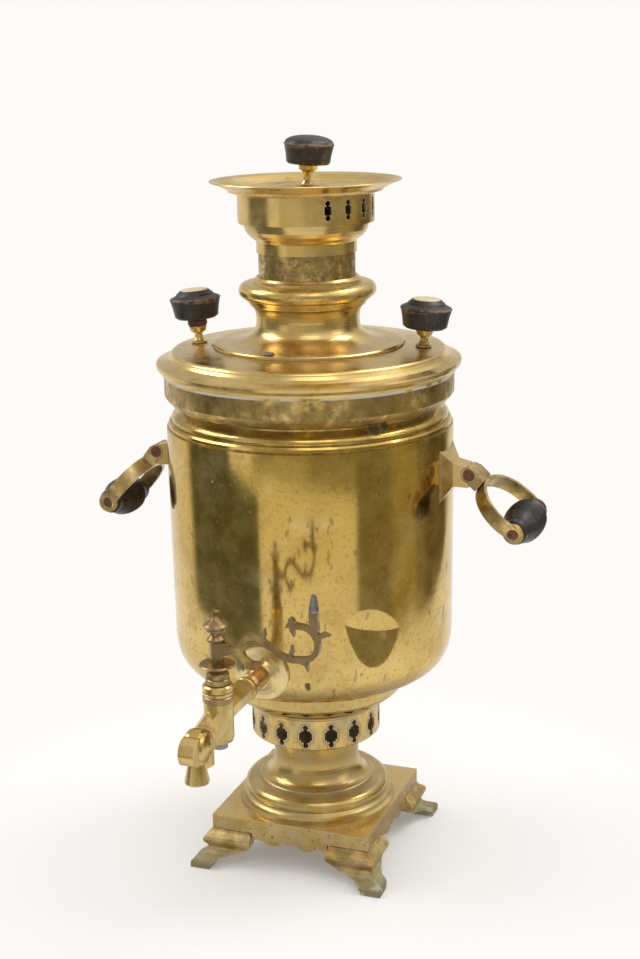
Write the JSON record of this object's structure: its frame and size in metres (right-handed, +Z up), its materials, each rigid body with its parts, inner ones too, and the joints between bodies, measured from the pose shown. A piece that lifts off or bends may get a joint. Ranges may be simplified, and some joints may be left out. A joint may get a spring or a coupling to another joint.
{
  "type": "charcoal samovar",
  "caption": "Cylindrical brass samovar on a square footed base, with a lift-off lid and crown, a scrolled tap key and two folding handles with wooden grips.",
  "frame": {"origin": "on the axis of the body and chimney, in the plane of the feet's soles", "axes": "+Z up, -Y out along the tap, +X towards the handle on the right when the tap faces the viewer"},
  "size_m": [0.3146, 0.3136, 0.4932],
  "materials": {
    "polished_brass": "old spun sheet brass, hand polished, with darker patina in the grooves",
    "tarnished_brass": "blotched brown patina with dull spots",
    "cast_bronze": "cast and filed, browner than the sheet, with bright edges",
    "sooty_brass": "scaled and sooty inside the fire tube",
    "cast_iron_grate": "rough casting, grey with ash",
    "dark_wood": "turned and blackened wood, worn tan along the edges",
    "grip_wood": "turned and blackened wood with fine grooves, rubbed satin",
    "collar_wood": "turned reddish-brown wood, waxed",
    "bone": "old cream bone, satin",
    "rivet_copper": "copper rivet gone dark red-brown",
    "grey_metal": "dull grey tinned metal",
    "old_leather": "hardened leather washer"
  },
  "bodies": {
    "urn": {"base_plate": "polished_brass", "foot_front_right": "cast_bronze", "foot_front_left": "cast_bronze", "foot_back_right": "cast_bronze", "foot_back_left": "cast_bronze", "foot_screws": "grey_metal", "pedestal": "polished_brass", "air_ring": "polished_brass", "body_shell": "polished_brass", "rim_ring": "tarnished_brass", "firebox_tube": "sooty_brass", "chimney_pipe": "tarnished_brass", "grate": "cast_iron_grate", "bracket_right": "polished_brass", "bracket_left": "polished_brass", "escutcheon": "polished_brass", "tap_body": "cast_bronze", "tap_washer": "old_leather", "tap_nut": "cast_bronze"},
    "tap_key": {"tap_plug": "cast_bronze", "plug_washer": "grey_metal", "key_scroll": "cast_bronze", "key_tip": "grey_metal"},
    "handle_right": {"handle_fork_right": "polished_brass", "handle_bow_right": "polished_brass", "hinge_pin_right": "rivet_copper", "grip_pin_right": "rivet_copper"},
    "handle_left": {"handle_fork_left": "polished_brass", "handle_bow_left": "polished_brass", "hinge_pin_left": "rivet_copper", "grip_pin_left": "rivet_copper"},
    "roller_right": {"grip_right": "grip_wood"},
    "roller_left": {"grip_left": "grip_wood"},
    "lid": {"lid_plate": "polished_brass", "lid_flare": "polished_brass", "lid_torus": "polished_brass", "steam_vent": "grey_metal", "lid_stem_right": "cast_bronze", "lid_stem_left": "cast_bronze", "lid_knob_right": "dark_wood", "knob_collar": "collar_wood", "lid_knob_left": "dark_wood", "knob_disc_right": "bone", "knob_disc_left": "bone", "stem_nuts": "cast_bronze"},
    "crown": {"crown_cup": "polished_brass", "crown_tray": "polished_brass"},
    "cap": {"cap_plate": "polished_brass", "cap_stem": "cast_bronze", "cap_knob": "dark_wood", "cap_nut": "cast_bronze"}
  },
  "joints": [
    {"name": "tap_key_turn", "type": "hinge", "parent": "urn", "child": "tap_key", "pos_m": [0, -0.164, 0.162], "axis": [0, 0, 1], "range_deg": [-240, 60]},
    {"name": "handle_right_lift", "type": "hinge", "parent": "urn", "child": "handle_right", "pos_m": [0.1115, 0, 0.2786], "axis": [0, -1, 0], "range_deg": [0, 40]},
    {"name": "handle_left_lift", "type": "hinge", "parent": "urn", "child": "handle_left", "pos_m": [-0.1115, 0, 0.2786], "axis": [0, 1, 0], "range_deg": [0, 50]},
    {"name": "grip_right_spin", "type": "hinge", "parent": "handle_right", "child": "roller_right", "pos_m": [0.14712, 0, 0.24871], "axis": [0.1005, 0.9877, 0.1198], "continuous": true},
    {"name": "grip_left_spin", "type": "hinge", "parent": "handle_left", "child": "roller_left", "pos_m": [-0.14139, 0, 0.24298], "axis": [0.0534, 0.9976, -0.0448], "continuous": true},
    {"name": "lid_lift", "type": "slide", "parent": "urn", "child": "lid", "axis": [0, 0, 1], "range_m": [0, 0.11]},
    {"name": "crown_lift", "type": "slide", "parent": "lid", "child": "crown", "axis": [0, 0, 1], "range_m": [0, 0.04]},
    {"name": "cap_lift", "type": "slide", "parent": "crown", "child": "cap", "axis": [0, 0, 1], "range_m": [0, 0.04]}
  ]
}
